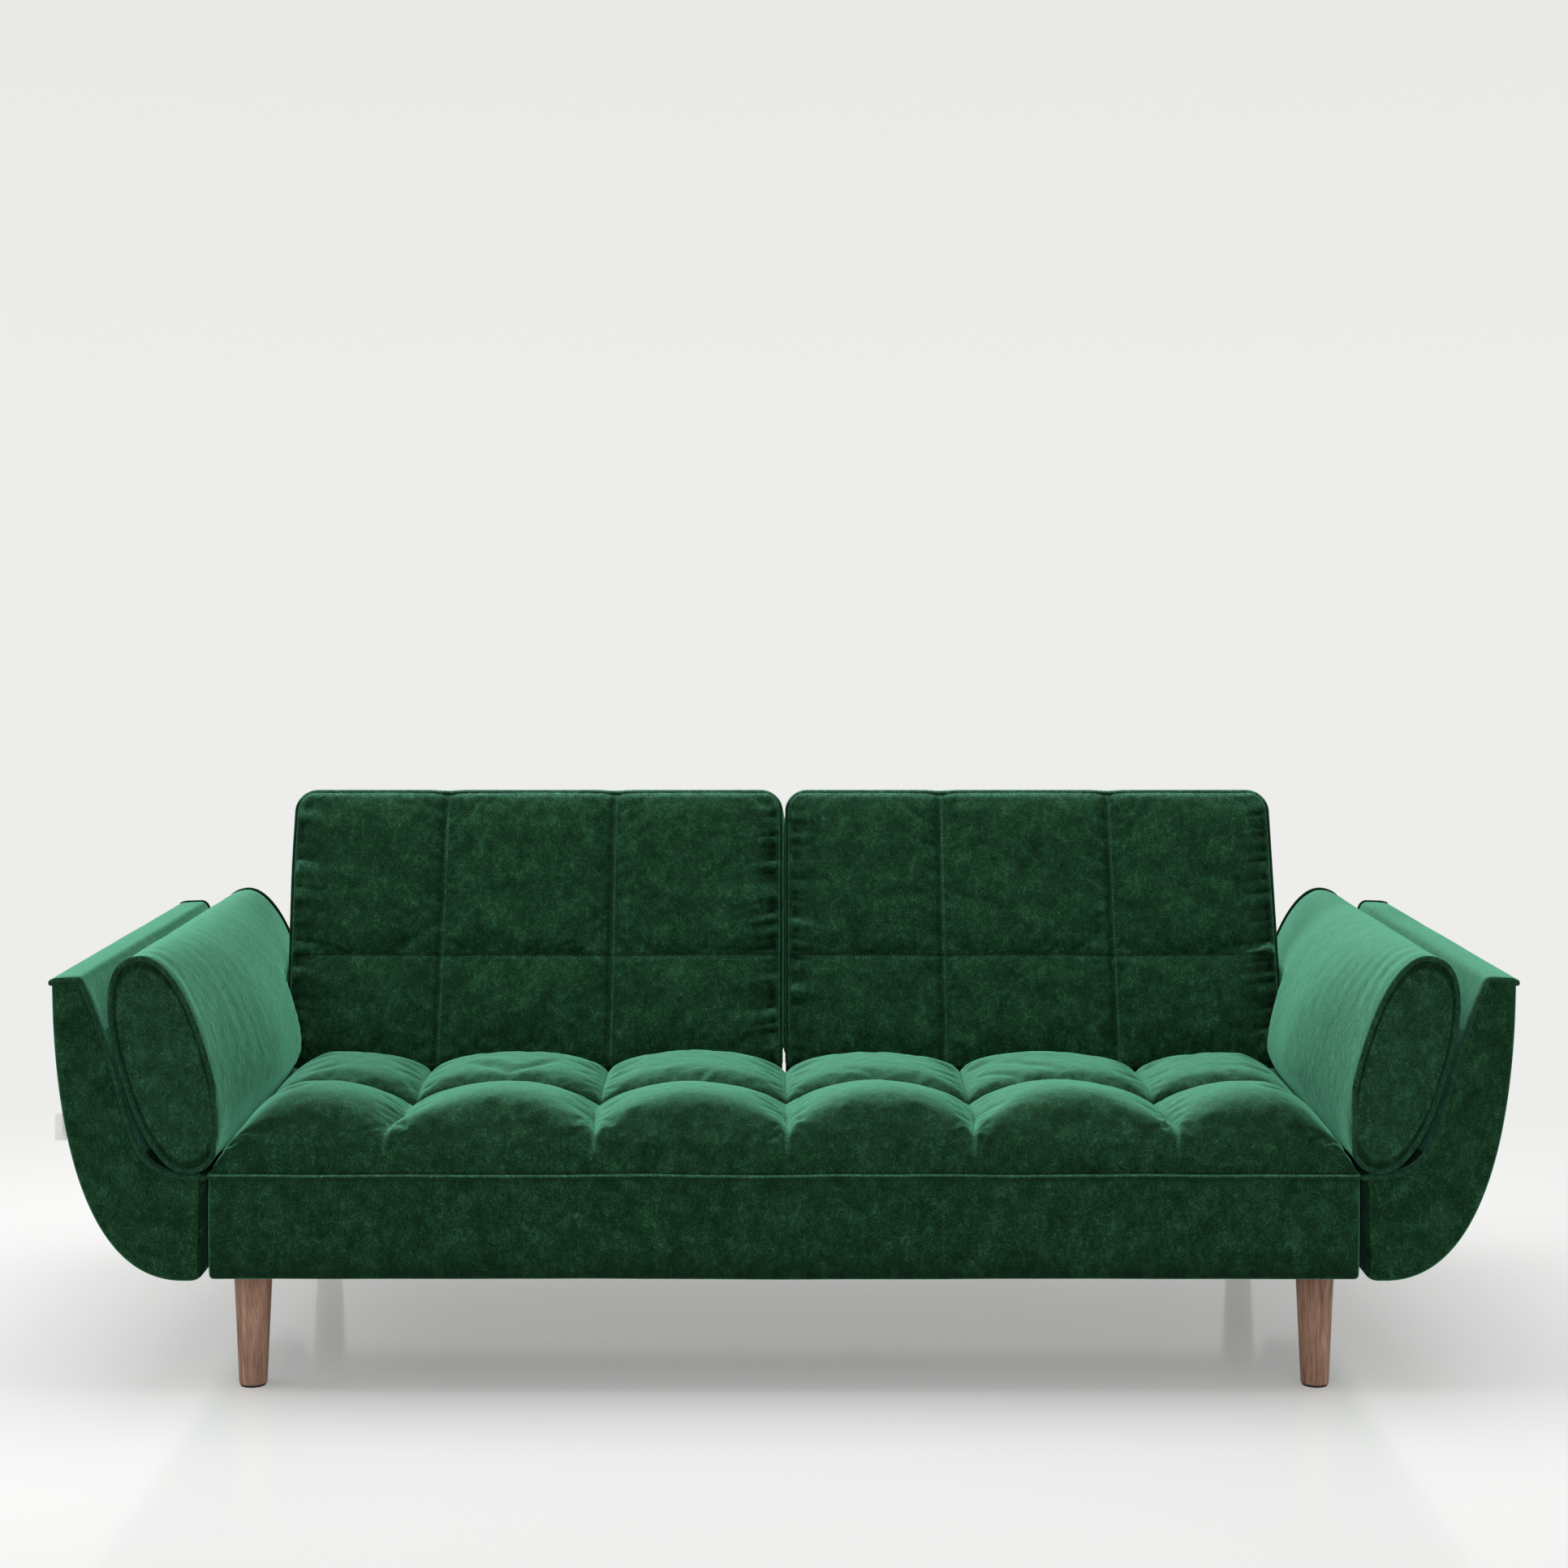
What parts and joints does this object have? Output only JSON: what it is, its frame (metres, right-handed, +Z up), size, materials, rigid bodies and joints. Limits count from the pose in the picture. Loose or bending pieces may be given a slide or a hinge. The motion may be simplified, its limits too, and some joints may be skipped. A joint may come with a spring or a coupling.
{
  "type": "futon sofa bed",
  "caption": "Velvet click-clack sofa bed: tufted seat on a timber box base, split quilted back that folds flat, curved arm wings and loose oval side bolsters.",
  "frame": {"origin": "floor level, at the centre of the footprint of the sofa with its backs upright", "axes": "+X towards the right arm as seen from the front, +Y towards the back, +Z up"},
  "size_m": [2.284, 0.9, 0.8823],
  "materials": {
    "velvet": "matte",
    "velvet_piping": "matte",
    "walnut_leg": "satin",
    "frame_timber": "matte",
    "spring_steel": "satin",
    "felt": "matte",
    "foam": "matte",
    "dust_cloth": "matte",
    "zinc_steel": "satin",
    "hinge_steel": "satin",
    "glide_plastic": "matte",
    "rubber": "matte"
  },
  "bodies": {
    "base": {"front_rail": "frame_timber", "rear_rail": "frame_timber", "side_rails": "frame_timber", "mid_rail": "frame_timber", "joists": "frame_timber", "corner_blocks": "frame_timber", "seat_springs": "spring_steel", "spring_clips": "spring_steel", "seat_felt": "felt", "seat_foam": "foam", "seat_cushion": "velvet", "seat_piping": "velvet_piping", "front_border": "velvet", "side_borders": "velvet", "rear_border": "velvet", "seat_back_panel": "velvet", "deck_board": "frame_timber", "deck_cover": "velvet", "dust_cover": "dust_cloth", "front_left_leg": "walnut_leg", "front_right_leg": "walnut_leg", "rear_left_leg": "walnut_leg", "rear_right_leg": "walnut_leg", "leg_plates": "zinc_steel", "leg_bolts": "zinc_steel", "leg_nuts": "zinc_steel", "leg_glides": "glide_plastic", "left_wing_pad": "velvet", "left_wing_piping": "velvet_piping", "left_wing_ribs": "frame_timber", "left_wing_boards": "frame_timber", "right_wing_pad": "velvet", "right_wing_piping": "velvet_piping", "right_wing_ribs": "frame_timber", "right_wing_boards": "frame_timber", "wing_bolts": "zinc_steel", "wing_spacers": "rubber", "wing_nuts": "zinc_steel", "hinge_brackets": "hinge_steel", "hinge_rivets": "zinc_steel", "hinge_screws": "zinc_steel"},
    "left_back": {"left_back_frame": "frame_timber", "left_back_springs": "spring_steel", "left_back_foam": "foam", "left_back_pad": "velvet", "left_back_cover": "velvet", "left_back_piping": "velvet_piping", "left_hinge_arms": "hinge_steel"},
    "right_back": {"right_back_frame": "frame_timber", "right_back_springs": "spring_steel", "right_back_foam": "foam", "right_back_pad": "velvet", "right_back_cover": "velvet", "right_back_piping": "velvet_piping", "right_hinge_arms": "hinge_steel"},
    "left_bolster": {"left_bolster": "velvet", "left_bolster_piping": "velvet_piping"},
    "right_bolster": {"right_bolster": "velvet", "right_bolster_piping": "velvet_piping"}
  },
  "joints": [
    {"name": "left_back_hinge", "type": "hinge", "parent": "base", "child": "left_back", "pos_m": [-0.4455, 0.09, 0.408], "axis": [-1, 0, 0], "range_deg": [0, 70]},
    {"name": "right_back_hinge", "type": "hinge", "parent": "base", "child": "right_back", "pos_m": [0.4455, 0.09, 0.408], "axis": [-1, 0, 0], "range_deg": [0, 70]},
    {"name": "left_bolster_lift", "type": "slide", "parent": "base", "child": "left_bolster", "axis": [0, 0, 1], "range_m": [0, 0.55]},
    {"name": "right_bolster_lift", "type": "slide", "parent": "base", "child": "right_bolster", "axis": [0, 0, 1], "range_m": [0, 0.55]}
  ]
}
